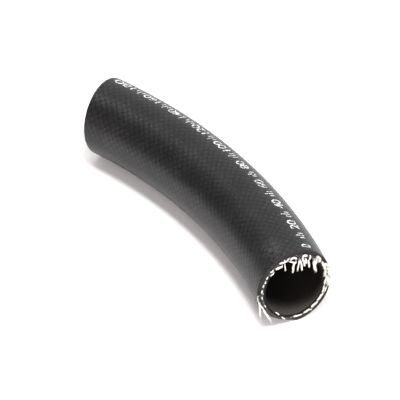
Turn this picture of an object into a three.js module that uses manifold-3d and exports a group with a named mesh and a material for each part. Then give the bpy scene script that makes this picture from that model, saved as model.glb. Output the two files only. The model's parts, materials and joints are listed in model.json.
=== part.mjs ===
// A cut length of braided rubber hose, lying on its side with the set of the coil that it came from.
// Three bonded layers lie inside one another: a smooth inner tube, a braid of yarn and a rubber cover.
// Both ends were cut by hand, a few degrees off square, and the yarn frays out of the cuts.
// Millimetres and degrees, +Z up. The hose lies along X with its near cut at +X, and its bend bulges to +Y.

import * as THREE from "three";
import { mergeVertices } from "three/addons/utils/BufferGeometryUtils.js";
import Module from "manifold-3d";

// The hose's section, from the bore outwards.
const BORE_DIAMETER = 38.1;
const TUBE_WALL = 1.5;
const BRAID_THICKNESS = 1.3;
const COVER_THICKNESS = 2.4;

// The centreline: an arc between two short straight ends.
const BEND_RADIUS = 312;
const BEND_ANGLE = 33.9;
const STRAIGHT_END = 7;

// How far each cut is from square. A negative lean sets the top edge back towards the far end,
// and a negative skew does the same to the edge on the outside of the bend.
const NEAR_CUT_LEAN = -9.4;
const NEAR_CUT_SKEW = -6;
const FAR_CUT_LEAN = -7.3;
const FAR_CUT_SKEW = -4.5;

// The knife rounds the cover's outer edge and breaks the corner of the bore.
const COVER_EDGE_SETBACK = 1.1;
const COVER_EDGE_ROUND = 0.9;
const MOUTH_CHAMFER = 0.35;

// The yarn ends stand a little proud of the rubber, and some of them have come loose.
const BRAID_PROUD = 0.35;
const STUB_LENGTH = 1.6;
const STUBS_PER_END = 20;
const LOOSE_CLEARANCE = 0.35;
const LOOSE_RISE = 0.6;

// How finely the round shapes are divided.
const SIDES = 36;
const BEND_STEPS = 12;
const EDGE_STEPS = 3;
const YARN_SIDES = 6;
const LOOSE_STEPS = 6;

const boreRadius = BORE_DIAMETER / 2;
const tubeRadius = boreRadius + TUBE_WALL;
const braidRadius = tubeRadius + BRAID_THICKNESS;
const coverRadius = braidRadius + COVER_THICKNESS;
const yarnRadius = 0.36 * BRAID_THICKNESS;
const yarnRootRadius = tubeRadius + BRAID_THICKNESS / 2;
const halfBend = THREE.MathUtils.degToRad(BEND_ANGLE / 2);
const slope = (degrees) => Math.tan(THREE.MathUtils.degToRad(degrees));

const FAR = { turn: -halfBend, outward: -1, lean: slope(FAR_CUT_LEAN), skew: slope(FAR_CUT_SKEW) };
const NEAR = { turn: halfBend, outward: 1, lean: slope(NEAR_CUT_LEAN), skew: slope(NEAR_CUT_SKEW) };

// The centreline's point and directions at one angle of the bend. The axis lies one cover radius above the floor.
function station(turn) {
  const outside = new THREE.Vector3(Math.sin(turn), Math.cos(turn), 0);
  const travel = new THREE.Vector3(Math.cos(turn), -Math.sin(turn), 0);
  const centre = outside.clone().multiplyScalar(BEND_RADIUS);
  centre.z = coverRadius;
  return { centre, outside, travel };
}

// A point at a radius and an angle round the hose, where 0 is the outside of the bend and a quarter turn is the top.
function around(place, radius, angle) {
  return place.centre
    .clone()
    .addScaledVector(place.outside, radius * Math.cos(angle))
    .addScaledVector(new THREE.Vector3(0, 0, 1), radius * Math.sin(angle));
}

// The same point carried along the straight end to the sloping cut, and proud millimetres past it.
function atCut(end, proud, radius, angle) {
  const place = station(end.turn);
  const tilt = radius * (Math.cos(angle) * end.skew + Math.sin(angle) * end.lean);
  return around(place, radius, angle).addScaledVector(
    place.travel,
    end.outward * (STRAIGHT_END + proud) + tilt,
  );
}

function ring(pointAt) {
  return Array.from({ length: SIDES }, (_, i) => pointAt((i * 2 * Math.PI) / SIDES));
}

const cutRing = (end, proud, radius) => ring((angle) => atCut(end, proud, radius, angle));

function bentRings(radius) {
  return Array.from({ length: BEND_STEPS + 1 }, (_, i) => {
    const place = station(halfBend * ((2 * i) / BEND_STEPS - 1));
    return ring((angle) => around(place, radius, angle));
  });
}

// A wall of one radius, from the far cut to the near one. Where it stands proud it has a ring in the cut too,
// so that the layers touch along the same facets.
function wall(radius, proud) {
  const farRings = [cutRing(FAR, proud, radius)];
  const nearRings = [cutRing(NEAR, proud, radius)];
  if (proud > 0) {
    farRings.push(cutRing(FAR, 0, radius));
    nearRings.unshift(cutRing(NEAR, 0, radius));
  }
  return [...farRings, ...bentRings(radius), ...nearRings];
}

// The rings of a rounded edge at one end, from the wall to the cut face.
function roundedEdge(end, radius, setback, depth, steps) {
  return Array.from({ length: steps }, (_, i) => {
    const t = ((i + 1) / steps) * (Math.PI / 2);
    return cutRing(end, -setback * (1 - Math.sin(t)), radius - depth * (1 - Math.cos(t)));
  });
}

// Closes two walls, and any rings between them at the ends, into one shell whose faces point outwards.
function shell(outer, nearEdge, inner, farEdge) {
  const rings = [...outer, ...nearEdge, ...inner.slice().reverse(), ...farEdge];
  const innerStart = outer.length + nearEdge.length;
  const innerEnd = innerStart + inner.length - 1;
  const points = rings.flat().flatMap((p) => [p.x, p.y, p.z]);
  const faces = [];
  rings.forEach((_, k) => {
    const a = k * SIDES;
    const b = ((k + 1) % rings.length) * SIDES;
    const returning = k >= innerStart && k < innerEnd;
    for (let i = 0; i < SIDES; i += 1) {
      const next = (i + 1) % SIDES;
      if (returning) faces.push(a + i, a + next, b + i, a + next, b + next, b + i);
      else faces.push(a + i, a + next, b + next, a + i, b + next, b + i);
    }
  });
  const geometry = new THREE.BufferGeometry();
  geometry.setAttribute("position", new THREE.Float32BufferAttribute(points, 3));
  geometry.setIndex(faces);
  return geometry;
}

function innerTube() {
  const mouth = (end) => cutRing(end, 0, boreRadius + MOUTH_CHAMFER);
  return shell(wall(tubeRadius, 0), [mouth(NEAR)], wall(boreRadius, -MOUTH_CHAMFER), [mouth(FAR)]);
}

function outerCover() {
  const edge = (end) => roundedEdge(end, coverRadius, COVER_EDGE_SETBACK, COVER_EDGE_ROUND, EDGE_STEPS);
  const outer = wall(coverRadius, -COVER_EDGE_SETBACK);
  return shell(outer, edge(NEAR), wall(braidRadius, 0), edge(FAR).reverse());
}

// One yarn along a list of points, as a closed round strand.
function strand(points, steps) {
  const section = new THREE.Shape();
  section.absarc(0, 0, yarnRadius, 0, 2 * Math.PI);
  return new THREE.ExtrudeGeometry(section, {
    steps,
    curveSegments: YARN_SIDES / 2,
    extrudePath: new THREE.CatmullRomCurve3(points),
  });
}

// Short cut ends that stand out of the braid all the way round, each leaning its own way.
function stubs(end) {
  return Array.from({ length: STUBS_PER_END }, (_, i) => {
    const angle = (2 * Math.PI * (i + 0.35 * Math.sin(5 * i))) / STUBS_PER_END;
    const length = STUB_LENGTH * (0.8 + 0.2 * Math.cos(3 * i));
    const lean = (i % 2 ? 0.03 : -0.03) + 0.015 * Math.sin(2 * i);
    const root = atCut(end, -STUB_LENGTH, yarnRootRadius, angle);
    const tip = atCut(end, length, yarnRootRadius, angle + lean);
    return strand([root, tip], 1);
  });
}

// A loose yarn rises out of the near cut, clears the rubber's face and ends at its tip.
// The tip is a radius, an angle round the hose and a height above the cut.
function looseYarn(rootAngle, tipRadius, tipAngle, tipHeight) {
  const rad = THREE.MathUtils.degToRad;
  const height = yarnRadius + LOOSE_CLEARANCE + LOOSE_RISE;
  const inPath = (t, proud) =>
    atCut(
      NEAR,
      proud,
      THREE.MathUtils.lerp(yarnRootRadius, tipRadius, t),
      rad(THREE.MathUtils.lerp(rootAngle, tipAngle, t)),
    );
  return strand(
    [inPath(0, -STUB_LENGTH), inPath(0, height / 2), inPath(0.12, height), inPath(0.55, height), inPath(1, tipHeight)],
    LOOSE_STEPS,
  );
}

// The yarns that hang over the bore's upper rim: root angle, tip angle and how far the tip reaches in from the braid.
function hangingYarns() {
  const drop = [
    [101, 97, 9.5],
    [91, 86, 8.5],
    [80, 71, 8.5],
    [68, 58, 5.5],
    [52, 38, 6],
    [40, 27, 6.5],
    [126, 124, 3.2],
    [140, 141, 2.6],
  ];
  return drop.map(([root, tip, reach]) => looseYarn(root, yarnRootRadius - reach, tip, 1.4));
}

// The bunch that has turned outwards over the cover's edge and hangs down beside it: root and tip angles and the
// tip's distance outside the cover.
function sideYarns() {
  const bunch = [
    [168, 186, 1.2],
    [178, 198, 1.5],
    [188, 207, 1.3],
    [199, 220, 1.4],
  ];
  return bunch.map(([root, tip, beyond]) => looseYarn(root, coverRadius + beyond, tip, 1.2));
}

const wasm = await Module();
wasm.setup();

function solidOf(geometry) {
  const bare = geometry.clone();
  bare.deleteAttribute("normal");
  bare.deleteAttribute("uv");
  const merged = mergeVertices(bare);
  return new wasm.Manifold(
    new wasm.Mesh({
      numProp: 3,
      vertProperties: merged.getAttribute("position").array,
      triVerts: new Uint32Array(merged.getIndex().array),
    }),
  );
}

function geometryOf(solid) {
  const mesh = solid.getMesh();
  const geometry = new THREE.BufferGeometry();
  geometry.setAttribute("position", new THREE.Float32BufferAttribute(mesh.vertProperties, 3));
  geometry.setIndex(Array.from(mesh.triVerts));
  return geometry;
}

function reinforcementBraid() {
  const sleeve = shell(wall(tubeRadius + BRAID_THICKNESS, BRAID_PROUD), [], wall(tubeRadius, BRAID_PROUD), []);
  const yarns = [...stubs(FAR), ...stubs(NEAR), ...hangingYarns(), ...sideYarns()];
  return geometryOf(yarns.reduce((body, yarn) => body.add(solidOf(yarn)), solidOf(sleeve)));
}

function piece(name, geometry, color, roughness) {
  const material = new THREE.MeshStandardMaterial({ color, roughness, metalness: 0, flatShading: true });
  const mesh = new THREE.Mesh(geometry, material);
  mesh.name = name;
  return mesh;
}

const hose = new THREE.Group();
hose.add(piece("inner_tube", innerTube(), 0x1b1818, 0.75));
hose.add(piece("reinforcement_braid", reinforcementBraid(), 0xe9e6da, 0.9));
hose.add(piece("outer_cover", outerCover(), 0x323232, 0.6));

// The origin is under the middle of the hose's box, on the floor.
const middle = new THREE.Box3().setFromObject(hose).getCenter(new THREE.Vector3());
hose.position.set(-middle.x, -middle.y, 0);

export default hose;
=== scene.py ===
# %% [markdown]
# # A cut length of rubber hose
#
# The hose is three things bonded into one wall: a smooth rubber tube, a braid of cream yarn round it and a
# rubber cover over that. It lies on its side, gently bent. Each layer could be swept along the bent
# centreline, but then the relief, the print and the yarns would each need their own way round the bend. So
# this lesson models everything on a straight hose, where a ring is a ring and a length is a length, and then
# one node group bends it all alike.

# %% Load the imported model
import bmesh
import bpy
import json
import math
import random
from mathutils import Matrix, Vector


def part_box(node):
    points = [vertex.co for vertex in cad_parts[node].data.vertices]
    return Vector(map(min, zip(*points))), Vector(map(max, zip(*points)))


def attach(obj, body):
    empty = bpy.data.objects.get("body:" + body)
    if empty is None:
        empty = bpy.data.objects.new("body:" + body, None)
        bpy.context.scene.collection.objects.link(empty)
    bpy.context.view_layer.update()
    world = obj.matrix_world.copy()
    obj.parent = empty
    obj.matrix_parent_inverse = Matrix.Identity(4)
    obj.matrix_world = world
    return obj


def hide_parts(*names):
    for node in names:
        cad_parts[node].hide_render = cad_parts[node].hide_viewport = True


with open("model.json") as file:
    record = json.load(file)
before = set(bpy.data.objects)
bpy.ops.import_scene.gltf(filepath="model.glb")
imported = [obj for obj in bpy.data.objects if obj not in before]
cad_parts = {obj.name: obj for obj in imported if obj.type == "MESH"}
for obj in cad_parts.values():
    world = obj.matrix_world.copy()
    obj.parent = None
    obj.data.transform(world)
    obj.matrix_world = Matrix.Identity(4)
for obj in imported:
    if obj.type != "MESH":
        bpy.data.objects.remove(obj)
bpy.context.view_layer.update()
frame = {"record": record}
record = frame["record"]

# %% [markdown]
# ## Sizes
#
# The section and the bend are the real ones, in metres. Where the hose lies isn't typed in again, because it
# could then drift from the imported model: the cover's box says how far the bend bulges, and the mounts give
# the planes of the two cuts, which is enough to find the rest.

# %% Sizes of the hose
MM = 0.001
BORE_RADIUS = 19.05 * MM
TUBE_RADIUS = 20.55 * MM
BRAID_RADIUS = 21.85 * MM
COVER_RADIUS = 24.25 * MM
BEND_RADIUS = 312 * MM
BEND_ANGLE = math.radians(33.9)
STRAIGHT_END = 7 * MM
LENGTH = BEND_RADIUS * BEND_ANGLE + 2 * STRAIGHT_END
STRANDS = 32  # in each of the braid's two directions
BRAID_ANGLE = math.radians(46)  # from the hose's axis, on the cover


def heading(turn):
    """The outside of the bend and the direction of travel, at an angle of the bend."""
    outside = Vector((math.sin(turn), math.cos(turn), 0))
    travel = Vector((math.cos(turn), -math.sin(turn), 0))
    return outside, travel


print("outside", round(2 * COVER_RADIUS / MM, 1), "mm, bore", round(2 * BORE_RADIUS / MM, 1), "mm")

# %% Where the hose lies, and how its cuts slope
cover_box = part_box("outer_cover")
mounts = {m["name"]: m for m in record["mounts"]}


def cut_slopes(mount, turn, outward):
    """How much the cut runs along the hose for each metre towards the outside of the bend, and upwards."""
    outside, travel = heading(turn)
    normal = Vector(mount["axis"]) * outward
    along = normal.dot(travel)
    return -normal.dot(outside) / along, -normal.z / along


near_skew, near_lean = cut_slopes(mounts["near_cut_face"], BEND_ANGLE / 2, 1)
far_skew, far_lean = cut_slopes(mounts["far_cut_face"], -BEND_ANGLE / 2, -1)

shift_y = cover_box[1][1] - (BEND_RADIUS + COVER_RADIUS)
outside, travel = heading(BEND_ANGLE / 2)
near_centre = outside * BEND_RADIUS + travel * STRAIGHT_END + Vector((0, shift_y, COVER_RADIUS))
near_normal = Vector(mounts["near_cut_face"]["axis"])
shift_x = near_normal.dot(Vector(mounts["near_cut_face"]["pos_m"]) - near_centre) / near_normal.x
print("length", round(LENGTH / MM, 1), "mm, shift", round(shift_x / MM, 2), round(shift_y / MM, 2), "mm")
print("near cut", round(near_skew, 3), round(near_lean, 3), "far cut", round(far_skew, 3), round(far_lean, 3))

# %% [markdown]
# ## Camera
#
# The photograph was taken from well above, with a long lens: the hose's two sides hardly draw together
# towards its far end. The camera looks at a point on the floor beside the middle of the hose. It could be
# placed by eye, but two angles and a distance can be corrected one at a time.

# %% Camera
CAMERA_AZIMUTH = math.radians(53.73)
CAMERA_ELEVATION = math.radians(41.8)
CAMERA_DISTANCE = 2.479
CAMERA_LENS = 360
LOOK_AT = Vector((-18.75, 9.63, 0)) * MM


def aimed(name, data, target, azimuth, elevation, distance):
    """A camera or lamp that looks at a target. Its azimuth is measured from -Y towards +X."""
    away = Vector((
        math.sin(azimuth) * math.cos(elevation),
        -math.cos(azimuth) * math.cos(elevation),
        math.sin(elevation),
    ))
    thing = bpy.data.objects.new(name, data)
    bpy.context.scene.collection.objects.link(thing)
    thing.location = target + away * distance
    thing.rotation_euler = (-away).to_track_quat("-Z", "Y").to_euler()
    print(name, "at", [round(v, 3) for v in thing.location])
    return thing


camera_data = bpy.data.cameras.new("photo_camera")
camera_data.lens = CAMERA_LENS
camera_data.sensor_width = 36
camera_data.clip_end = 20
bpy.context.scene.camera = aimed(
    "photo_camera", camera_data, LOOK_AT, CAMERA_AZIMUTH, CAMERA_ELEVATION, CAMERA_DISTANCE
)

# %% [markdown]
# ## Numbers in a node tree
#
# Bending and relief are plain formulas. In a tree each plus and times is a Math node, which is slow to write,
# so `Number` wraps a node's output and makes the next node whenever it meets an operator. `node` makes any
# kind of node with its inputs filled in.

# %% Making nodes


def fill(tree, made, inputs):
    """Links or sets a node's inputs, given by name or number."""
    for key, value in inputs.items():
        value = value.socket if isinstance(value, Number) else value
        if isinstance(value, bpy.types.NodeSocket):
            tree.links.new(value, made.inputs[key])
        else:
            made.inputs[key].default_value = value


def node(tree, kind, inputs=None, **settings):
    """A new node with its settings made and its inputs filled in."""
    made = tree.nodes.new(kind)
    for key, value in settings.items():
        setattr(made, key, value)
    fill(tree, made, inputs or {})
    return made


print("helpers: fill, node")

# %% Formulas as nodes


class Number:
    """A number socket in a tree. Sums and products of it are new Math nodes."""

    def __init__(self, tree, socket):
        self.tree = tree
        self.socket = socket

    def math(self, operation, *others):
        made = node(self.tree, "ShaderNodeMath", dict(enumerate((self, *others))), operation=operation)
        return Number(self.tree, made.outputs[0])

    def __add__(self, other):
        return self.math("ADD", other)

    def __sub__(self, other):
        return self.math("SUBTRACT", other)

    def __mul__(self, other):
        return self.math("MULTIPLY", other)

    def __truediv__(self, other):
        return self.math("DIVIDE", other)

    __radd__ = __add__

    def __rsub__(self, other):
        return (self * -1) + other

    def sin(self):
        return self.math("SINE")

    def cos(self):
        return self.math("COSINE")

    def least(self, other):
        return self.math("MINIMUM", other)

    def most(self, other):
        return self.math("MAXIMUM", other)


def ramp(value, start, end):
    """0 below start and 1 above end, with a straight line between."""
    return ((value - start) / (end - start)).most(0).least(1)


print("Number makes Math nodes")

# %% [markdown]
# ## The bend
#
# A straight hose lies along X with its axis at the origin: X is the distance from the far end, Y points to
# the outside of the bend and Z up. The group first slides the last few millimetres of each end along the
# hose, so that the square end becomes the sloping cut. Then it carries each point to the arc, or along the
# straight ends past it. A Curve modifier bends a mesh too, but it needs a curve object to follow and leaves
# the ends square. Here every tree shares the one group.

# %% The group that slopes the cuts and bends the hose
CUT_REACH = 9 * MM  # the length of hose that gives way to a sloping cut
CUT_RIGID = 1.6 * MM  # and the last of it, which keeps its shape


def new_group(name, inputs, outputs):
    """A Geometry Nodes group with named sockets, each (name, type, default)."""
    tree = bpy.data.node_groups.new(name, "GeometryNodeTree")
    for in_out, sockets in (("INPUT", inputs), ("OUTPUT", outputs)):
        for label, kind, *default in sockets:
            socket = tree.interface.new_socket(label, in_out=in_out, socket_type="NodeSocket" + kind)
            if default:
                socket.default_value = default[0]
    return tree, tree.nodes.new("NodeGroupInput"), tree.nodes.new("NodeGroupOutput")


def numbers(tree, vector):
    """The X, Y and Z of a vector socket."""
    return [Number(tree, output) for output in node(tree, "ShaderNodeSeparateXYZ", {0: vector}).outputs]


def vector_of(tree, x, y, z):
    return node(tree, "ShaderNodeCombineXYZ", {0: x, 1: y, 2: z}).outputs[0]


def sloped(x, y, z):
    """The distance along the hose once the cuts slope."""
    near = ramp(x, LENGTH - CUT_REACH, LENGTH - CUT_RIGID)
    far = 1 - ramp(x, CUT_RIGID, CUT_REACH)
    return x + near * (y * near_skew + z * near_lean) + far * (y * far_skew + z * far_lean)


def make_bend_group():
    tree, given, result = new_group("bend_the_hose", [("Geometry", "Geometry")], [("Geometry", "Geometry")])
    x, y, z = numbers(tree, node(tree, "GeometryNodeInputPosition").outputs[0])
    along = sloped(x, y, z)
    on_arc = (along - STRAIGHT_END).most(0).least(BEND_RADIUS * BEND_ANGLE)
    turn = on_arc / BEND_RADIUS - BEND_ANGLE / 2
    past = along - STRAIGHT_END - on_arc
    sine, cosine = turn.sin(), turn.cos()
    out = y + BEND_RADIUS
    bent = vector_of(
        tree,
        out * sine + past * cosine + shift_x,
        out * cosine - past * sine + shift_y,
        z + COVER_RADIUS,
    )
    moved = node(tree, "GeometryNodeSetPosition", {"Geometry": given.outputs[0], "Position": bent})
    tree.links.new(moved.outputs[0], result.inputs[0])
    return tree


bend_group = make_bend_group()
print("bend group:", len(bend_group.nodes), "nodes")

# %% [markdown]
# ## Small tools
#
# A few helpers keep the cells short. `grown` runs a tree once and keeps its result as a plain mesh, which is
# what the picture shows. `end_tree` is the last part of every tree. `finished` parents a piece to the root
# empty and hides the CAD parts that it stands for.

# %% Pieces from trees


def grown(name, tree, start, **inputs):
    """The plain mesh object that a tree makes out of a starting mesh."""
    piece = bpy.data.objects.new(name, start)
    bpy.context.scene.collection.objects.link(piece)
    modifier = piece.modifiers.new(name, "NODES")
    modifier.node_group = tree
    for socket in tree.interface.items_tree:
        if socket.in_out == "INPUT" and socket.name in inputs:
            modifier[socket.identifier] = inputs[socket.name]
    bpy.context.view_layer.update()
    depsgraph = bpy.context.evaluated_depsgraph_get()
    mesh = bpy.data.meshes.new_from_object(
        piece.evaluated_get(depsgraph), preserve_all_data_layers=True, depsgraph=depsgraph
    )
    piece.modifiers.clear()
    piece.data = mesh
    mesh.name = name
    triangles = sum(len(polygon.vertices) - 2 for polygon in mesh.polygons)
    print(f"{name}: {len(mesh.vertices)} vertices, {triangles} triangles")
    return piece


def end_tree(tree, shape, material, result, smooth=True):
    """The end of each tree that makes a piece: the shape is bent, made real and given its material."""
    shape = node(tree, "GeometryNodeGroup", {0: shape}, node_tree=bend_group).outputs[0]
    if smooth:
        shape = node(tree, "GeometryNodeSetShadeSmooth", {"Geometry": shape}).outputs[0]
    real = node(tree, "GeometryNodeRealizeInstances", {"Geometry": shape})
    coloured = node(tree, "GeometryNodeSetMaterial", {"Geometry": real.outputs[0], "Material": material})
    tree.links.new(coloured.outputs[0], result.inputs[0])


def finished(piece, material_slot, *cad_nodes):
    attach(piece, "root")
    if cad_nodes:
        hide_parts(*cad_nodes)
    return piece


def mesh_of(name, points, edges=(), faces=()):
    mesh = bpy.data.meshes.new(name)
    mesh.from_pydata(points, edges, faces)
    return mesh


print("helpers: grown, end_tree, finished, mesh_of")

# %% [markdown]
# ## What the braid does to the cover
#
# The cover is vulcanized over the braid under tight wrapping, so the strands print through it as a faint
# diamond relief. Two families of strands wind opposite ways and pass over and under each other. Each is a
# pair of yarns, so its crown has a shallow furrow along it. Bump alone could show this, but the outline and
# the exported mesh would stay smooth. So one formula shapes the mesh, the ink on it and the finer bump.

# %% The relief of the braid
TURN = 2 * math.pi
SLANT = math.tan(BRAID_ANGLE)
AROUND = TURN * COVER_RADIUS  # once round the cover, which is also the length that one unit of UV stands for
CROWN = 0.36  # how high a strand stands, as a share of the relief
FURROW = 0.14  # how deep the furrow between its two yarns is
WAVES_PER_METRE = 28.0


def strand_height(around, along):
    """The braid's relief from 0 to 1, at a place in turns round the hose and in the same unit along it."""
    first = (around - along * SLANT) * (TURN * STRANDS)
    second = (around + along * SLANT) * (TURN * STRANDS)
    first_on_top = (first * 0.5).cos() * (second * 0.5).cos() * 0.5 + 0.5
    first_crown = first.cos() * CROWN + (first * 2).cos() * -FURROW
    second_crown = second.cos() * CROWN + (second * 2).cos() * -FURROW
    return first_on_top * first_crown + (1 - first_on_top) * second_crown + 0.5


def wave_height(tree, x, y, z):
    """The cover's slow unevenness, from -0.5 to 0.5."""
    made = node(tree, "ShaderNodeTexNoise", {
        "Vector": vector_of(tree, x, y, z), "Scale": WAVES_PER_METRE, "Detail": 1.0,
    })
    return Number(tree, made.outputs[0]) - 0.5


print("strand spacing", round(AROUND / STRANDS / MM, 2), "mm round the cover")

# %% [markdown]
# ## Layers of the wall
#
# Each layer is a closed outline turned round the hose's axis. The outline is a plain list of corners:
# distance along, radius, and how much of the braid's relief shows there. A Screw modifier could turn it, but
# it knows nothing of the relief. The tree lays a grid over the outline, one row for each corner, wraps the
# grid round the axis, and bends the result.

# %% The tree that turns an outline into a layer
TRIM_MIDDLE = math.radians(228)  # where the cover's corner is trimmed, low on the inside of the bend
TRIM_FADE = math.cos(math.radians(44))  # the trim begins this far to either side
TRIM_FULL = math.cos(math.radians(20))  # and is at its deepest from here inwards
TRIM_REACH = 10 * MM  # the length of cover that gives way to it
SEAM = 0.002 * MM  # points closer than this are sewn together


def make_layer_tree():
    tree, given, result = new_group(
        "turn_a_layer",
        [
            ("Outline", "Geometry"),
            ("Sides", "Int", 64),
            ("Relief", "Float", 0.0),
            ("Waviness", "Float", 0.0),
            ("Trim", "Float", 0.0),
            ("Material", "Material"),
        ],
        [("Geometry", "Geometry")],
    )
    outline, sides, relief, waviness, trim, material = (given.outputs[i] for i in range(6))
    corners = node(tree, "GeometryNodeAttributeDomainSize", {"Geometry": outline})
    rows = Number(tree, corners.outputs["Point Count"])
    columns = Number(tree, sides)
    grid = node(tree, "GeometryNodeMeshGrid", {
        "Size X": 1.0, "Size Y": 1.0, "Vertices X": columns + 1, "Vertices Y": rows,
    })
    place = node(tree, "GeometryNodeInputPosition")
    across, up, _ = numbers(tree, place.outputs[0])
    corner = node(tree, "GeometryNodeSampleIndex", {
        "Geometry": outline,
        "Value": place.outputs[0],
        "Index": ((up + 0.5) * (rows - 1)).math("ROUND"),
    }, data_type="FLOAT_VECTOR")
    whole, radius, skin = numbers(tree, corner.outputs[0])
    around = across + 0.5
    angle = around * TURN
    # The knife took the corner off the cover at one place on the near cut.
    place_round = ramp((angle - TRIM_MIDDLE).cos(), TRIM_FADE, TRIM_FULL)
    depth = ramp(radius, BRAID_RADIUS, COVER_RADIUS) * ramp(whole, LENGTH - TRIM_REACH, LENGTH)
    along = whole - place_round * depth * Number(tree, trim)
    y, z = radius * angle.cos(), radius * angle.sin()
    true_along = sloped(along, y, z) / AROUND
    swell = strand_height(around, true_along) * skin * Number(tree, relief)
    wander = wave_height(tree, along, y, z) * Number(tree, waviness)
    full = radius + swell + wander * skin
    # The UV and the skin are stored before the points move, because both are read from the flat grid.
    mapped = node(tree, "GeometryNodeStoreNamedAttribute", {
        "Geometry": grid.outputs["Mesh"], "Name": "UVMap",
        "Value": vector_of(tree, around, true_along, 0.0),
    }, data_type="FLOAT2", domain="CORNER")
    marked = node(tree, "GeometryNodeStoreNamedAttribute", {
        "Geometry": mapped.outputs[0], "Name": "skin", "Value": skin,
    }, data_type="FLOAT", domain="POINT")
    shaped = node(tree, "GeometryNodeSetPosition", {
        "Geometry": marked.outputs[0],
        "Position": vector_of(tree, along, full * angle.cos(), full * angle.sin()),
    })
    sewn = node(tree, "GeometryNodeMergeByDistance", {"Geometry": shaped.outputs[0], "Distance": SEAM})
    end_tree(tree, sewn.outputs[0], material, result)
    return tree


layer_tree = make_layer_tree()
print("layer tree:", len(layer_tree.nodes), "nodes")

# %% Outlines
EDGE_STEPS = 5  # corners across a rounded edge
FACE_ROWS = 3  # and across a cut


def rounded(at, radius, setback, depth):
    """A rounded edge's corners, from the wall to the cut. setback is signed towards the hose's middle."""
    corners = []
    for i in range(1, EDGE_STEPS + 1):
        t = i / EDGE_STEPS * math.pi / 2
        corners.append((at + setback * (1 - math.sin(t)), radius - depth * (1 - math.cos(t)), 0.0))
    return corners


def stretch(start, end, radius, rows, skin=0.0):
    """Corners along a wall, both ends included."""
    return [(start + (end - start) * i / rows, radius, skin) for i in range(rows + 1)]


def face(at, start, end):
    """Corners across a cut, without its two edges."""
    return [(at, start + (end - start) * i / FACE_ROWS, 0.0) for i in range(1, FACE_ROWS)]


def outline_mesh(name, corners):
    """A closed outline: its first corner comes again at the end, and the tree sews the two together."""
    return mesh_of(name, corners + corners[:1])


print("a rounded edge has", EDGE_STEPS, "corners, and a cut face", FACE_ROWS, "rows")

# %% [markdown]
# ## Materials
#
# Both rubbers are nearly black, and what tells them apart is how they shine. The cover has a satin skin with
# a little chalky wear on the strands' crowns. The cut is torn and dull. The tube is smooth, as rubber is that
# was formed on a mandrel. Painted images could hold the wear, but noise needs no file and stays sharp close
# up. The patterns read the UV map, where one unit is once round the hose, or Object coordinates.

# %% Shared shader helpers


def new_material(name):
    material = bpy.data.materials.new(name)
    material.use_nodes = True
    tree = material.node_tree
    surface = tree.nodes["Principled BSDF"]
    return material, tree, surface


def noise(tree, scale, detail, **settings):
    """A noise from 0 to 1 on Object coordinates."""
    place = node(tree, "ShaderNodeTexCoord").outputs["Object"]
    made = node(tree, "ShaderNodeTexNoise", {"Vector": place, "Scale": scale, "Detail": detail, **settings})
    return Number(tree, made.outputs[0])


def mix_colour(tree, amount, first, second):
    """The first colour where the amount is 0 and the second where it is 1. Each is a colour or a socket."""
    first, second = (c if isinstance(c, bpy.types.NodeSocket) else (*c, 1) for c in (first, second))
    return node(tree, "ShaderNodeMix", {0: amount, 6: first, 7: second}, data_type="RGBA").outputs[2]


def bump(tree, surface, height, depth):
    """Relief of that depth in metres, from a height of 0 to 1."""
    made = node(tree, "ShaderNodeBump", {"Strength": 1.0, "Distance": depth, "Height": height})
    tree.links.new(made.outputs[0], surface.inputs["Normal"])


def uv_numbers(tree):
    return numbers(tree, node(tree, "ShaderNodeUVMap", uv_map="UVMap").outputs[0])[:2]


def attribute(tree, name):
    """A number that the mesh carries at each point."""
    return Number(tree, node(tree, "ShaderNodeAttribute", attribute_name=name).outputs["Fac"])


print("shader helpers: noise, mix_colour, bump, uv_numbers, attribute")

# %% Rubber of the cover
SKIN_BLACK = (0.004, 0.004, 0.0042)
SKIN_WORN = (0.032, 0.032, 0.0323)
CUT_BLACK = (0.014, 0.013, 0.013)
SMEAR_AROUND = 0.315  # a dull smear on top, near the near cut
SMEAR_ALONG = (LENGTH - 13 * MM) / AROUND


def make_cover_rubber():
    material, tree, surface = new_material("satin_cover_rubber")
    around, along = uv_numbers(tree)
    crown = strand_height(around, along)
    skin = attribute(tree, "skin")
    cut = 1 - skin
    cloud = noise(tree, 45.0, 4.0)
    grain = noise(tree, 1500.0, 3.0)
    mottle = ramp(noise(tree, 560.0, 3.0, Roughness=0.6), 0.38, 0.66)
    clear = ramp(noise(tree, 70.0, 2.0), 0.38, 0.60)  # where the braid shows through clearly
    proud = ramp(crown, 0.3, 0.9) * (0.45 + clear * 0.55)
    smear_place = (around - SMEAR_AROUND).math("POWER", 2) + ((along - SMEAR_ALONG) * 0.7).math("POWER", 2)
    smear = (1 - ramp(smear_place.math("SQRT") + cloud * 0.05, 0.03, 0.09)) * ramp(mottle, 0.1, 0.7)
    wear = (proud * (0.06 + mottle * 0.20) + mottle * 0.05 + ramp(cloud, 0.4, 0.75) * 0.16).least(1)
    skin_colour = mix_colour(tree, wear.most(smear), SKIN_BLACK, SKIN_WORN)
    shine = 0.40 + mottle * 0.07 + proud * (0.12 + mottle * 0.14)
    fill(tree, surface, {
        "Base Color": mix_colour(tree, cut, skin_colour, CUT_BLACK),
        "Roughness": 0.34 + wear * 0.10 + grain * 0.06 + smear * 0.2 + cut * 0.3,
        "Specular IOR Level": shine * skin + cut * 0.3,
    })
    torn = noise(tree, 2200.0, 6.0, Roughness=0.75)
    height = (crown * 0.55 + grain * 0.25) * skin + torn * cut
    bump(tree, surface, height, 0.07 * MM)
    return material


cover_rubber = make_cover_rubber()
print(cover_rubber.name, "has", len(cover_rubber.node_tree.nodes), "nodes")

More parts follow.
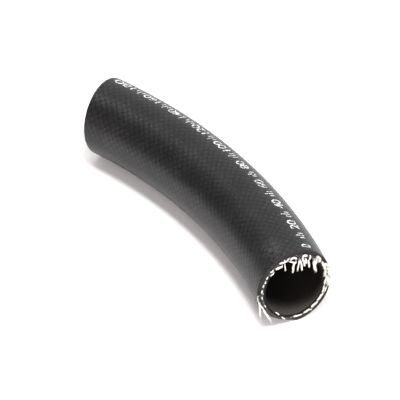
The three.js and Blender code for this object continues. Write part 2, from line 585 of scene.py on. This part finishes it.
# %% Rubber of the tube
MOUTH_DUST_AND_LIGHT = 12 * MM  # how far the dust of the cutting and the painted light on the lower wall reach into the bore
DUST_AND_LIGHT_MIDDLE = math.radians(225)  # where the dust and the painted light lie thickest, low on the inside of the bend
BORE_BLACK = (0.0080, 0.0062, 0.0058)
# The pale grey near the mouth is partly dust of the cutting and partly painted light on the lit lower wall.
DUST_AND_LIT_GREY = (0.064, 0.058, 0.054)
TUBE_CUT_BLACK = (0.006, 0.006, 0.006)
RINGS = 38  # faint rings along the bore, in each unit of UV


def make_tube_rubber():
    material, tree, surface = new_material("smooth_tube_rubber")
    around, along = uv_numbers(tree)
    bore = attribute(tree, "skin")
    cloud = noise(tree, 60.0, 3.0)
    grain = noise(tree, 1900.0, 3.0)
    depth = ((along - LENGTH / AROUND) * -1).least(along)
    # Near each mouth the wall is painted paler: partly dust of the cutting, partly painted light where the
    # lamps reach the lower wall.
    thickest_dust_and_light = ramp((around * TURN - DUST_AND_LIGHT_MIDDLE).cos(), 0.0, 1.0)
    fading = 1 - ramp(depth / (0.55 + thickest_dust_and_light * 0.45), 0.0, MOUTH_DUST_AND_LIGHT / AROUND)
    dust_and_painted_light = fading * fading * (0.6 + cloud * 0.4)
    wall_colour = mix_colour(tree, dust_and_painted_light, BORE_BLACK, DUST_AND_LIT_GREY)
    fill(tree, surface, {
        "Base Color": mix_colour(tree, bore, TUBE_CUT_BLACK, wall_colour),
        "Roughness": 0.85 - bore * 0.45 + cloud * 0.15,
        "Specular IOR Level": 0.22 + bore * 0.28,
    })
    rings = (along * (TURN * RINGS) + cloud * 3).sin() * 0.5 + 0.5
    bump(tree, surface, rings * 0.4 * bore + grain * (1.4 - bore * 0.8), 0.035 * MM)
    return material


tube_rubber = make_tube_rubber()
print(tube_rubber.name, "has", len(tube_rubber.node_tree.nodes), "nodes")

# %% Yarn, loose and in the braid
YARN_CREAM = (0.86, 0.84, 0.75)
YARN_WHITE = (0.95, 0.945, 0.91)
CEMENT_BLACK = (0.03, 0.028, 0.025)  # the rubber that the yarn was laid in, which stains its root
SOAKED_BLACK = (0.022, 0.020, 0.019)
SOAKED_PALE = (0.42, 0.40, 0.35)


def make_yarn():
    material, tree, surface = new_material("cream_yarn")
    clean = mix_colour(tree, noise(tree, 320.0, 3.0), YARN_CREAM, YARN_WHITE)
    reach = attribute(tree, "reach")
    smear = noise(tree, 900.0, 2.0)
    stain = (1 - ramp(reach - smear * 0.45, 0.0, 0.16)).most(ramp(noise(tree, 1400.0, 2.0), 0.60, 0.72) * 0.5)
    fill(tree, surface, {
        "Base Color": mix_colour(tree, stain, clean, CEMENT_BLACK),
        "Roughness": 0.75,
        "Sheen Weight": 0.25,
        "Sheen Roughness": 0.5,
    })
    bump(tree, surface, noise(tree, 5200.0, 2.0), 0.02 * MM)
    return material


def make_soaked_braid():
    """The braid's own body: yarn laid in black rubber cement, which shows dark between the yarn ends."""
    material, tree, surface = new_material("soaked_braid")
    around, along = uv_numbers(tree)
    crown = strand_height(around, along)
    speckle = ramp(noise(tree, 1300.0, 3.0), 0.52, 0.68)
    yarn = (speckle * 0.5 + ramp(crown, 0.75, 0.95) * 0.4).least(1)
    fill(tree, surface, {"Base Color": mix_colour(tree, yarn, SOAKED_BLACK, SOAKED_PALE), "Roughness": 0.8})
    bump(tree, surface, crown * 0.5 + speckle * 0.5, 0.12 * MM)
    return material


yarn = make_yarn()
soaked_braid = make_soaked_braid()
print("materials:", [m.name for m in bpy.data.materials if m.use_nodes])

# %% [markdown]
# ## The cover
#
# The mesh is fine enough to carry the strands: eight columns and eight rows to each of them. At the cuts its
# outer edge is drawn round by the knife, and the braid's relief ends there. Low on the inside of the bend the
# knife also took the near cut's corner off. A boolean could cut it, but would tear the even grid, so the tree
# draws it back.

# %% Outer cover
COVER_SIDES = 8 * STRANDS
COVER_ROWS = 330
EDGE_SETBACK = 1.1 * MM
EDGE_ROUND = 0.9 * MM
EDGE_TRIM = 3.5 * MM  # the most that the knife took off the corner
HIDDEN_ROWS = 16
BRAID_RELIEF = 0.10 * MM
HOSE_WAVINESS = 0.22 * MM


def cover_outline():
    edge_radius = COVER_RADIUS - EDGE_ROUND
    wall = stretch(EDGE_SETBACK, LENGTH - EDGE_SETBACK, COVER_RADIUS, COVER_ROWS, 1.0)
    far_edge = rounded(0, COVER_RADIUS, EDGE_SETBACK, EDGE_ROUND)
    near_edge = rounded(LENGTH, COVER_RADIUS, -EDGE_SETBACK, EDGE_ROUND)
    inside = stretch(LENGTH, 0, BRAID_RADIUS, HIDDEN_ROWS)
    return (
        wall + near_edge + face(LENGTH, edge_radius, BRAID_RADIUS)
        + inside + face(0, BRAID_RADIUS, edge_radius) + far_edge[::-1]
    )


cover = grown(
    "cover", layer_tree, outline_mesh("cover_outline", cover_outline()),
    Sides=COVER_SIDES, Relief=BRAID_RELIEF, Waviness=HOSE_WAVINESS, Trim=EDGE_TRIM, Material=cover_rubber,
)
finished(cover, "cover_rubber", "outer_cover")

# %% [markdown]
# ## Tube and braid
#
# The tube is a plain smooth layer with a broken corner at its mouth. The braid's body fills the space between
# the two rubbers. Only its cut ends show, and the yarn that stands out of them comes next. Both could be
# plain bored cylinders, but the cover's own tree slopes and bends all three alike, so no gap opens between
# them.

# %% Inner tube and the body of the braid
MOUTH_CHAMFER = 0.35 * MM
TUBE_SIDES = 144
TUBE_ROWS = 70


def tube_outline():
    mouth = BORE_RADIUS + MOUTH_CHAMFER
    return (
        stretch(0, LENGTH, TUBE_RADIUS, HIDDEN_ROWS)
        + face(LENGTH, TUBE_RADIUS, mouth)
        + rounded(LENGTH, BORE_RADIUS, -MOUTH_CHAMFER, -MOUTH_CHAMFER)[::-1]
        + stretch(LENGTH - MOUTH_CHAMFER, MOUTH_CHAMFER, BORE_RADIUS, TUBE_ROWS, 1.0)
        + rounded(0, BORE_RADIUS, MOUTH_CHAMFER, -MOUTH_CHAMFER)
        + face(0, mouth, TUBE_RADIUS)
    )


def braid_outline():
    return (
        stretch(0, LENGTH, BRAID_RADIUS, HIDDEN_ROWS)
        + face(LENGTH, BRAID_RADIUS, TUBE_RADIUS)
        + stretch(LENGTH, 0, TUBE_RADIUS, HIDDEN_ROWS)
        + face(0, TUBE_RADIUS, BRAID_RADIUS)
    )


tube = grown(
    "tube", layer_tree, outline_mesh("tube_outline", tube_outline()),
    Sides=TUBE_SIDES, Relief=0.0, Waviness=0.0, Trim=0.0, Material=tube_rubber,
)
finished(tube, "tube_rubber", "inner_tube")

braid = grown(
    "braid", layer_tree, outline_mesh("braid_outline", braid_outline()),
    Sides=TUBE_SIDES, Relief=0.0, Waviness=0.0, Trim=0.0, Material=soaked_braid,
)
finished(braid, "braid_yarn", "reinforcement_braid")

# %% [markdown]
# ## Yarn
#
# A yarn is a bundle of fibres round a line. The line is a guide of a few points, and the tree grows every
# fibre along it: each has its own place in the bundle, winds round the middle with the twist, and strays
# towards its tip. Each guide also carries a size, which makes its bundle thicker or thinner. One thick tube
# with a twisted bump would be lighter, but a cut yarn opens into fibres at its tip, and that is what shows.
# Short stubs, long hanging ends and single wisps are all the same tree with other guides and numbers.

# %% Straight fibres


def straight_fibres(tree, guides, fibres, points):
    """A straight line for each fibre of each guide, divided into points."""
    count = node(tree, "GeometryNodeAttributeDomainSize", {"Geometry": guides}, component="CURVE")
    total = Number(tree, count.outputs["Spline Count"]) * fibres
    line = node(tree, "GeometryNodeCurvePrimitiveLine")
    divided = node(tree, "GeometryNodeResampleCurve", {"Curve": line.outputs[0], "Count": points})
    seeds = node(tree, "GeometryNodePoints", {"Count": total})
    copies = node(tree, "GeometryNodeInstanceOnPoints", {
        "Points": seeds.outputs[0], "Instance": divided.outputs[0],
    })
    return node(tree, "GeometryNodeRealizeInstances", {"Geometry": copies.outputs[0]}).outputs[0]


print("helper: straight_fibres")

# %% The tree that lays fibres along guides


def vector_math(tree, operation, inputs):
    return node(tree, "ShaderNodeVectorMath", inputs, operation=operation).outputs[0]


def make_yarn_tree():
    tree, given, result = new_group(
        "grow_yarns",
        [
            ("Guides", "Geometry"),
            ("Fibres", "Int", 20),
            ("Points", "Int", 6),
            ("Bundle", "Float", 0.5 * MM),
            ("Fibre", "Float", 0.05 * MM),
            ("Twist", "Float", 0.5),
            ("Flare", "Float", 0.5),
            ("Frizz", "Float", 0.3 * MM),
            ("Seed", "Int", 1),
            ("Material", "Material"),
        ],
        [("Geometry", "Geometry")],
    )
    sockets = {socket.name: socket for socket in given.outputs}
    used = ("Fibres", "Bundle", "Twist", "Flare", "Frizz", "Seed")
    value = {name: Number(tree, sockets[name]) for name in used}
    lines = node(tree, "GeometryNodeMeshToCurve", {"Mesh": sockets["Guides"]}).outputs[0]
    guides = node(tree, "GeometryNodeCurveSplineType", {"Curve": lines}, spline_type="CATMULL_ROM").outputs[0]
    fibres = straight_fibres(tree, guides, value["Fibres"], sockets["Points"])
    which = Number(tree, node(tree, "GeometryNodeCurveOfPoint").outputs["Curve Index"])
    t = Number(tree, node(tree, "GeometryNodeSplineParameter").outputs["Factor"])

    def chance(low, high, offset):
        made = node(tree, "FunctionNodeRandomValue", {
            2: low, 3: high, "ID": which, "Seed": value["Seed"] * 10 + offset,
        }, data_type="FLOAT")
        return Number(tree, made.outputs[1])

    reach = chance(0.72, 1.0, 1)
    given_size = node(tree, "GeometryNodeInputNamedAttribute", {"Name": "size"}, data_type="FLOAT")
    sample = node(tree, "GeometryNodeSampleCurve", {
        "Curves": guides,
        "Factor": t * reach,
        "Curve Index": (which / value["Fibres"]).math("FLOOR"),
        "Value": given_size.outputs[0],
    }, mode="FACTOR", data_type="FLOAT")
    size = Number(tree, sample.outputs["Value"])
    middle, tangent, normal = (sample.outputs[name] for name in ("Position", "Tangent", "Normal"))
    side = vector_math(tree, "CROSS_PRODUCT", {0: tangent, 1: normal})
    angle = chance(0.0, TURN, 2) + t * value["Twist"] * TURN
    spread = chance(0.0, 1.0, 3).math("SQRT") * value["Bundle"] * size * (1 + (t - 0.5) * value["Flare"])
    stray = node(tree, "ShaderNodeTexNoise", {
        "Vector": vector_of(tree, which * 7.3, t * 1.6, value["Seed"] * 1.0), "Scale": 1.0, "Detail": 1.0,
    }, noise_dimensions="3D")
    off = vector_math(tree, "SUBTRACT", {0: stray.outputs["Color"], 1: (0.5, 0.5, 0.5)})
    place = middle
    for direction, amount in (
        (normal, angle.cos() * spread),
        (side, angle.sin() * spread),
        (off, t * value["Frizz"] * 4),
    ):
        push = vector_math(tree, "SCALE", {0: direction, "Scale": amount})
        place = vector_math(tree, "ADD", {0: place, 1: push})
    # The girth is set before the fibres move, because every field here is read from the straight lines.
    girth = size.math("SQRT") * (1 - t * 0.4)
    thin = node(tree, "GeometryNodeSetCurveRadius", {"Curve": fibres, "Radius": girth})
    laid = node(tree, "GeometryNodeSetPosition", {"Geometry": thin.outputs[0], "Position": place})
    marked = node(tree, "GeometryNodeStoreNamedAttribute", {
        "Geometry": laid.outputs[0], "Name": "reach", "Value": t * reach,
    }, data_type="FLOAT", domain="POINT")
    section = node(tree, "GeometryNodeCurvePrimitiveCircle", {"Resolution": 4, "Radius": sockets["Fibre"]})
    solid = node(tree, "GeometryNodeCurveToMesh", {
        "Curve": marked.outputs[0], "Profile Curve": section.outputs[0], "Fill Caps": True,
    })
    end_tree(tree, solid.outputs[0], sockets["Material"], result)
    return tree


yarn_tree = make_yarn_tree()
print("yarn tree:", len(yarn_tree.nodes), "nodes")

# %% Guides
YARN_ROOT_RADIUS = (TUBE_RADIUS + BRAID_RADIUS) / 2


def at_end(end, height, radius, degrees):
    """A point above a cut, on the straight hose: its height over the cut, its radius and the angle round."""
    angle = math.radians(degrees)
    along = LENGTH + height if end == "near" else -height
    return along, radius * math.cos(angle), radius * math.sin(angle)


def guide_mesh(name, guides):
    """Guides, each (size, points), as loose chains of edges in one mesh."""
    points, sizes, edges = [], [], []
    for size, guide in guides:
        edges += [(len(points) + i, len(points) + i + 1) for i in range(len(guide) - 1)]
        points += guide
        sizes += [size] * len(guide)
    mesh = mesh_of(name, points, edges)
    mesh.attributes.new("size", "FLOAT", "POINT").data.foreach_set("value", sizes)
    return mesh


print("guides start at radius", round(YARN_ROOT_RADIUS / MM, 2), "mm")

# %% [markdown]
# ## Cut ends of the braid
#
# Every strand ends in yarns at the cut. Most are cropped flush and half drowned in black rubber, so only some
# show pale, as short dashes along the ring. The rest were dragged by the knife and lie along the cut or stand
# out of it. They could be placed by hand, but there are over a hundred, so a seeded draw places them.

# %% Short yarn ends all round both cuts
ENDS_ROUND_CUT = 4 * STRANDS


def short_ends(end, showing, longest, seed):
    """Guides for a cut's cropped yarns: the share of them that shows, and the longest in mm."""
    rng = random.Random(seed)
    guides = []
    for i in range(ENDS_ROUND_CUT):
        degrees = 360 * (i + rng.uniform(-0.3, 0.3)) / ENDS_ROUND_CUT
        length = (0.15 + longest * rng.random()**3) * MM
        lean = (1 if i % 2 else -1) * rng.uniform(0.5, 4)
        root = YARN_ROOT_RADIUS + (0.3 if i % 2 else -0.3) * MM
        tip = root + rng.uniform(-0.4, 0.4) * MM
        if rng.random() < showing:
            guides.append((rng.uniform(0.6, 1.0), [
                at_end(end, -1 * MM, root, degrees),
                at_end(end, 0.05 * MM, root, degrees),
                at_end(end, length, tip, degrees + lean),
            ]))
    return guides


for end, showing, longest, seed in (("near", 0.08, 0.3, 4), ("far", 0.6, 1.4, 9)):
    ends = grown(
        end + "_yarn_ends", yarn_tree, guide_mesh(end + "_guides", short_ends(end, showing, longest, seed)),
        Fibres=18, Points=4, Bundle=0.42 * MM, Fibre=0.07 * MM, Twist=0.15, Flare=0.4, Frizz=0.10 * MM,
        Seed=seed, Material=yarn,
    )
    finished(ends, "braid_yarn", "reinforcement_braid")

# %% [markdown]
# ## Loose yarns at the near cut
#
# Above the bore some yarns have pulled free and hang across its mouth, or curl back on themselves. Down the
# right side several lie crushed along the cut and over its edge. On the inside of the bend a few turn out
# over the cover's edge and hang beside it. A random tree could scatter them, but each one here falls its own
# way, so they are listed one by one.

# %% The list of loose yarns
# Each is a size and its points, as height over the cut and radius in mm and the angle round in degrees.
HANGING = [
    (1.15, [(-1, 21.2, 88), (0.9, 21.0, 87), (1.6, 18.8, 86), (1.6, 17.0, 91), (1.3, 11.0, 96)]),
    (0.95, [(-0.6, 21.0, 99), (1.1, 20.8, 97), (1.7, 21.9, 91), (1.5, 20.8, 86), (1.0, 20.4, 85)]),
    (0.55, [(-0.6, 21.0, 101), (1.2, 20.0, 98), (1.7, 18.8, 91), (1.5, 18.2, 87)]),
    (0.70, [(-1, 21.2, 82), (1.2, 20.4, 80), (1.7, 18.0, 80), (1.4, 11.8, 81)]),
    (0.85, [(-1, 21.2, 78), (1.3, 20.1, 79), (1.9, 17.2, 75), (1.4, 12.0, 66)]),
    (0.80, [
        (-1, 21.2, 77), (1.2, 20.2, 75), (2.2, 22.0, 75), (2.3, 22.8, 72), (1.3, 21.7, 67), (0.1, 20.9, 66),
    ]),
    (1.15, [(-0.6, 21.2, 75), (1.4, 20.2, 74), (1.7, 17.8, 69), (1.4, 15.2, 64)]),
    (1.00, [(-0.6, 21.0, 69), (1.5, 19.6, 67), (1.4, 16.8, 61)]),
    (0.70, [(-0.6, 21.2, 63), (1.8, 22.3, 61), (1.6, 20.2, 60), (1.0, 19.6, 60)]),
    (0.80, [(-0.6, 21.0, 62), (1.5, 19.4, 61), (1.4, 15.1, 50)]),
    (1.65, [(-1, 21.4, 56), (1.7, 21.2, 53), (1.9, 18.8, 47), (1.5, 15.4, 27)]),
    (1.20, [(-1, 21.2, 48), (1.6, 21.2, 46), (1.7, 18.3, 43)]),
    (1.45, [(-0.6, 21.4, 45), (1.7, 23.0, 48), (2.0, 22.7, 43), (1.5, 20.8, 40)]),
    (1.30, [(-0.6, 21.6, 43), (1.7, 22.1, 37), (1.6, 21.7, 30), (1.4, 21.3, 21), (0.9, 21.4, 13)]),
]
LYING_LEFT = [
    (0.80, [(-0.4, 21.0, 99), (1.3, 21.3, 103), (1.4, 21.9, 109), (0.6, 22.0, 115)]),
    (0.70, [(-0.6, 21.2, 97), (1.3, 21.9, 100), (1.1, 20.8, 105)]),
    (1.15, [(-0.4, 20.8, 109), (1.3, 19.9, 113), (1.3, 20.4, 119), (0.4, 20.8, 125)]),
    (0.60, [(-0.6, 20.8, 107), (1.2, 19.4, 108), (1.2, 15.3, 112)]),
    (0.70, [(-0.3, 21.4, 127), (0.9, 21.7, 130), (0.3, 21.9, 134)]),
    (0.70, [(-0.3, 20.6, 129), (0.9, 20.1, 132), (0.3, 20.4, 139)]),
    (0.62, [(-0.4, 21.5, 141), (0.5, 21.7, 143), (0.1, 21.5, 147)]),
    (0.62, [(-0.4, 21.3, 149), (0.4, 21.2, 152), (0.0, 21.0, 155)]),
    (0.55, [(-0.4, 21.6, 155), (0.4, 21.8, 158), (0.0, 21.7, 162)]),
    (0.62, [(-0.4, 21.6, 165), (0.4, 21.8, 168), (0.0, 21.7, 172)]),
    (0.58, [(-0.4, 21.5, 177), (0.3, 21.6, 180), (0.0, 21.5, 183)]),
    (0.42, [(-0.4, 21.1, 193), (0.1, 20.9, 197), (-0.2, 20.8, 202)]),
    (0.55, [(-0.2, 19.6, 222), (0.5, 18.7, 225), (0.5, 18.8, 230), (0.2, 19.3, 235)]),
    (0.50, [(-0.2, 20.2, 239), (0.5, 20.0, 242), (0.4, 20.8, 246), (0.1, 21.5, 250)]),
]
LYING_RIGHT = [
    (0.95, [(0.0, 21.2, 10), (0.9, 20.8, 2), (0.8, 20.0, 353), (0.3, 19.9, 346)]),
    (0.85, [(0.0, 20.8, 350), (0.8, 19.9, 345), (0.8, 20.0, 338), (0.2, 20.6, 331)]),
    (0.80, [(0.0, 21.2, 337), (0.8, 20.7, 331), (0.7, 20.4, 324), (0.1, 20.8, 317)]),
    (0.60, [(0.0, 20.6, 333), (0.6, 20.0, 327), (0.5, 20.2, 320), (0.0, 20.4, 314)]),
    (0.80, [(0.0, 21.2, 319), (0.6, 20.6, 313), (0.5, 20.5, 305), (0.1, 20.9, 299)]),
    (0.50, [(0.0, 20.5, 312), (0.5, 20.0, 306), (0.3, 20.3, 300)]),
    (0.75, [(0.1, 20.9, 302), (0.5, 20.6, 295), (0.4, 20.5, 288), (0.1, 20.8, 283)]),
    (0.60, [(0.1, 20.8, 287), (0.4, 20.7, 280), (0.3, 20.6, 272), (0.1, 20.2, 264)]),
    (0.50, [(0.0, 21.8, 346), (0.4, 21.8, 340), (0.2, 21.7, 333)]),
]
CRUSHED = [
    (1.3, [(-0.6, 21.3, 29), (1.2, 22.4, 27), (1.9, 23.6, 24), (1.5, 24.0, 18)]),
    (1.2, [(-0.6, 21.3, 22), (1.2, 22.2, 20), (1.7, 23.3, 15), (1.2, 23.7, 8)]),
    (1.3, [(-0.6, 21.3, 15), (1.1, 22.0, 12), (1.3, 22.8, 6), (0.7, 23.2, 359)]),
    (1.3, [(-0.6, 21.3, 10), (1.2, 21.4, 6), (1.2, 21.2, 358), (0.6, 21.5, 350)]),
    (1.2, [(-0.6, 21.3, 18), (1.3, 20.8, 16), (1.4, 20.0, 11), (1.0, 19.6, 4)]),
    (1.1, [(-0.6, 21.3, 4), (1.0, 22.2, 0), (0.9, 22.4, 352), (0.3, 22.3, 344)]),
]
BESIDE = [
    (0.62, [
        (-0.8, 21.8, 178), (0.9, 23.2, 174), (1.5, 24.6, 171), (1.5, 24.7, 178),
        (1.5, 24.1, 187), (1.3, 24.8, 197), (1.0, 26.6, 206),
    ]),
    (0.62, [
        (-0.8, 21.8, 180), (1.0, 23.0, 177), (1.8, 24.2, 178), (1.6, 23.7, 187),
        (1.4, 22.8, 199), (1.3, 22.9, 210), (1.2, 23.9, 221),
    ]),
]
WISPS = [
    (0.8, [(1.5, 24.5, 176), (1.4, 24.2, 190), (0.8, 25.4, 204), (0.4, 27.8, 213)]),
    (0.8, [(1.6, 23.9, 182), (1.4, 22.9, 200), (1.6, 23.4, 216), (2.2, 24.8, 228)]),
    (0.5, [(-0.4, 21.4, 205), (0.8, 22.0, 208), (1.2, 22.8, 216), (1.2, 23.4, 224)]),
]


def loose(rows):
    return [(size, [at_end("near", h * MM, r * MM, a) for h, r, a in points]) for size, points in rows]


# Each row here has the piece, its guides, fibres and points in each, bundle and frizz in mm, and its seed.
for name, rows, fibres, points, bundle, frizz, seed in (
    ("hanging_yarns", HANGING, 60, 10, 0.52, 0.20, 21),
    ("left_yarns", LYING_LEFT, 50, 8, 0.48, 0.14, 27),
    ("right_yarns", LYING_RIGHT, 60, 12, 0.52, 0.24, 31),
    ("crushed_yarns", CRUSHED, 34, 12, 0.60, 0.55, 33),
    ("side_yarns", BESIDE, 60, 12, 0.55, 0.22, 35),
    ("side_wisps", WISPS, 7, 12, 0.35, 0.60, 38),
):
    piece = grown(
        name, yarn_tree, guide_mesh(name + "_guides", loose(rows)),
        Fibres=fibres, Points=points, Bundle=bundle * MM, Fibre=0.06 * MM, Twist=0.7, Flare=0.4,
        Frizz=frizz * MM, Seed=seed, Material=yarn,
    )
    finished(piece, "braid_yarn", "reinforcement_braid")

# %% [markdown]
# ## The printed scale
#
# A white line of print runs along the cover. Here it is a plain scale of the hose's length: a number every
# two centimetres, and between them the ticks that the numbers leave room for. The ink is a thin skin that
# follows the relief, so each glyph is cut into small cells first. A mask in the material would need an image
# of the numbers.

# %% Flat ink: ticks and numbers
PRINT_START = 9 * MM  # from the near cut to the scale's zero
PRINT_BASE = math.radians(57)  # the angle of the baseline round the hose
GLYPH_HEIGHT = 6.6 * MM
TICK_WIDTH = 0.60 * MM
TICK_STEP = 2 * MM
NUMBER_EVERY = 10  # steps
SHORT_TICK = 0.6 * GLYPH_HEIGHT
CAP_HEIGHT = 0.72  # of the font's nominal size
INK_CELL = 0.55 * MM


def add_number(sheet, text, centre):
    """A number as a flat mesh, standing on the baseline and centred over a place on the scale."""
    curve = bpy.data.curves.new("number", "FONT")
    curve.body = text
    curve.size = GLYPH_HEIGHT / CAP_HEIGHT
    curve.align_x = "CENTER"
    curve.offset = 0.03 * MM  # a little bolder than the font
    curve.space_character = 0.92  # and closer together
    curve.resolution_u = 4
    holder = bpy.data.objects.new("number", curve)
    bpy.context.scene.collection.objects.link(holder)
    bpy.context.view_layer.update()
    mesh = bpy.data.meshes.new_from_object(holder.evaluated_get(bpy.context.evaluated_depsgraph_get()))
    bpy.data.objects.remove(holder)
    for vertex in mesh.vertices:
        vertex.co.x += centre
    sheet.from_mesh(mesh)


def add_tick(sheet, centre, height):
    corners = ((-0.5, 0), (0.5, 0), (0.5, height), (-0.5, height))
    sheet.faces.new([sheet.verts.new((centre + x * TICK_WIDTH, y, 0)) for x, y in corners])


def cut_into_cells(sheet):
    """Cuts the flat ink along a grid of lines, so that it can follow the relief."""
    for axis in (0, 1):
        values = [vertex.co[axis] for vertex in sheet.verts]
        normal = Vector((1, 0, 0)) if axis == 0 else Vector((0, 1, 0))
        line = math.ceil(min(values) / INK_CELL) * INK_CELL
        while line < max(values):
            bmesh.ops.bisect_plane(sheet, geom=sheet.faces[:] + sheet.edges[:] + sheet.verts[:],
                                   plane_co=normal * line, plane_no=normal, dist=0.01 * MM)
            line += INK_CELL


def make_scale():
    sheet = bmesh.new()
    steps = int((LENGTH - 2 * PRINT_START) / TICK_STEP)
    for step in range(steps + 1):
        centre = step * TICK_STEP
        past_middle = step % NUMBER_EVERY - NUMBER_EVERY // 2
        if step % NUMBER_EVERY == 0:
            add_number(sheet, str(round(centre / MM)), centre)
        elif past_middle == 0:
            add_tick(sheet, centre, GLYPH_HEIGHT)
        elif abs(past_middle) == 1:
            add_tick(sheet, centre, SHORT_TICK)
    bmesh.ops.remove_doubles(sheet, verts=sheet.verts[:], dist=SEAM)
    cut_into_cells(sheet)
    flat = bpy.data.meshes.new("flat_scale")
    sheet.to_mesh(flat)
    sheet.free()
    return flat


flat_scale = make_scale()
print("flat ink:", len(flat_scale.polygons), "faces")

# %% Ink that has been laid on the cover
INK_LIFT = 0.05 * MM
INK_SUNK = 0.10 * MM
INK_WHITE = (0.74, 0.77, 0.80)
INK_WORN = (0.16, 0.16, 0.16)


def make_ink():
    material, tree, surface = new_material("print_ink")
    around, along = uv_numbers(tree)
    crown = strand_height(around, along)
    patch = noise(tree, 240.0, 3.0)
    fine = noise(tree, 1500.0, 3.0)
    worn = ramp(crown * -0.5 + patch * 0.7 + fine * 0.7, 0.44, 0.60)
    fill(tree, surface, {"Base Color": mix_colour(tree, worn, INK_WHITE, INK_WORN), "Roughness": 0.55})
    bump(tree, surface, crown * 0.6 + fine * 0.3, 0.06 * MM)
    return material


def make_wrap_tree():
    tree, given, result = new_group(
        "lay_ink_on_the_cover",
        [("Ink", "Geometry"), ("Relief", "Float", 0.0), ("Waviness", "Float", 0.0), ("Material", "Material")],
        [("Geometry", "Geometry")],
    )
    ink, relief, waviness, material = (given.outputs[i] for i in range(4))
    raised = node(tree, "GeometryNodeExtrudeMesh", {
        "Mesh": ink, "Offset Scale": 1.0, "Individual": False, "Offset": (0, 0, 1),
    }, mode="FACES")
    below = node(tree, "GeometryNodeFlipFaces", {"Mesh": ink})
    both = node(tree, "GeometryNodeJoinGeometry")
    tree.links.new(raised.outputs["Mesh"], both.inputs[0])
    tree.links.new(below.outputs[0], both.inputs[0])
    place = node(tree, "GeometryNodeInputPosition")
    x, y, z = numbers(tree, place.outputs[0])
    along = LENGTH - PRINT_START - x
    angle = y / COVER_RADIUS + PRINT_BASE
    around = angle / TURN
    level_y, level_z = angle.cos() * COVER_RADIUS, angle.sin() * COVER_RADIUS
    true_along = sloped(along, level_y, level_z) / AROUND
    swell = strand_height(around, true_along) * Number(tree, relief)
    wander = wave_height(tree, along, level_y, level_z) * Number(tree, waviness)
    full = COVER_RADIUS + swell + wander + z * (INK_LIFT + INK_SUNK) - INK_SUNK
    mapped = node(tree, "GeometryNodeStoreNamedAttribute", {
        "Geometry": both.outputs[0], "Name": "UVMap", "Value": vector_of(tree, around, true_along, 0.0),
    }, data_type="FLOAT2", domain="CORNER")
    shaped = node(tree, "GeometryNodeSetPosition", {
        "Geometry": mapped.outputs[0],
        "Position": vector_of(tree, along, full * angle.cos(), full * angle.sin()),
    })
    sewn = node(tree, "GeometryNodeMergeByDistance", {"Geometry": shaped.outputs[0], "Distance": SEAM})
    end_tree(tree, sewn.outputs[0], material, result, smooth=False)
    return tree


scale = grown(
    "printed_scale", make_wrap_tree(), flat_scale,
    Relief=BRAID_RELIEF, Waviness=HOSE_WAVINESS, Material=make_ink(),
)
finished(scale, "cover_rubber")

# %% [markdown]
# ## Floor and light
#
# The photograph was taken on a white sweep that is burnt out to pure white. A dome lights the floor from
# beyond the hose and from behind the camera, and is dark to either side and overhead. That leaves the dark
# band along the hose's flank. A long soft lamp overhead throws the narrow shadow. A low one beside the camera
# lifts that shadow at the near end, and one on the right lights the hose's rim. One image of a studio could
# light all this, but no part of it could be set alone. The floor is only for the picture.

# %% White floor
FLOOR_SIZE = 6.0

half = FLOOR_SIZE / 2
floor_corners = [(-half, -half, 0), (half, -half, 0), (half, half, 0), (-half, half, 0)]
floor_mesh = mesh_of("floor", floor_corners, faces=[(0, 1, 2, 3)])
floor = bpy.data.objects.new("floor", floor_mesh)
bpy.context.scene.collection.objects.link(floor)
floor_material, floor_tree, floor_surface = new_material("floor_white")
fill(floor_tree, floor_surface, {
    "Base Color": (0.92, 0.92, 0.92, 1), "Roughness": 0.9, "Specular IOR Level": 0.2,
})
floor_mesh.materials.append(floor_material)
print("floor", FLOOR_SIZE, "m square")

# %% Dome of light
BEHIND = (-math.sin(CAMERA_AZIMUTH), math.cos(CAMERA_AZIMUTH))  # the way the camera looks, on the floor
DOME_SIDES = 0.08
DOME_BEHIND = 1.00
DOME_FRONT = 1.60
# Where each of these two fades in: 0 is beside the hose or overhead, and 1 is straight behind or in front.
BEHIND_FADE = (0.15, 0.80)
FRONT_FADE = (0.25, 0.70)
WARM_WHITE = (1.0, 0.90, 0.895)  # the shadow in the photograph is faintly warm


def make_world():
    world = bpy.data.worlds.new("studio")
    bpy.context.scene.world = world
    world.use_nodes = True
    tree = world.node_tree
    x, y, _ = numbers(tree, node(tree, "ShaderNodeTexCoord").outputs["Generated"])
    depth = x * BEHIND[0] + y * BEHIND[1]
    backdrop = ramp(depth, *BEHIND_FADE)
    front = ramp(depth * -1, *FRONT_FADE)
    fill(tree, tree.nodes["Background"], {
        "Strength": backdrop * (DOME_BEHIND - DOME_SIDES) + front * (DOME_FRONT - DOME_SIDES) + DOME_SIDES,
        "Color": mix_colour(tree, backdrop, WARM_WHITE, (1, 1, 1)),
    })


make_world()
print("dome:", DOME_SIDES, "at the sides,", DOME_BEHIND, "behind,", DOME_FRONT, "in front")

# %% Three soft lamps


def add_lamp(name, aim, degrees, distance, width, depth, power):
    """An oblong lamp that looks at a point, from an azimuth and an elevation in degrees."""
    data = bpy.data.lights.new(name, "AREA")
    data.shape = "RECTANGLE"
    data.size = width
    data.size_y = depth
    data.energy = power
    azimuth, elevation = (math.radians(angle) for angle in degrees)
    aimed(name, data, Vector(aim), azimuth, elevation, distance)


add_lamp("overhead_lamp", (0, 0, 0), degrees=(5, 83.5), distance=1.6, width=1.00, depth=0.26, power=18.5)
add_lamp("near_lamp", (0.10, -0.03, 0), degrees=(60, 30), distance=0.45, width=0.20, depth=0.20, power=0.9)
add_lamp("right_lamp", (0, 0, 0), degrees=(145, 40), distance=1.6, width=0.40, depth=0.40, power=15.0)
bpy.context.scene.view_settings.view_transform = "Standard"
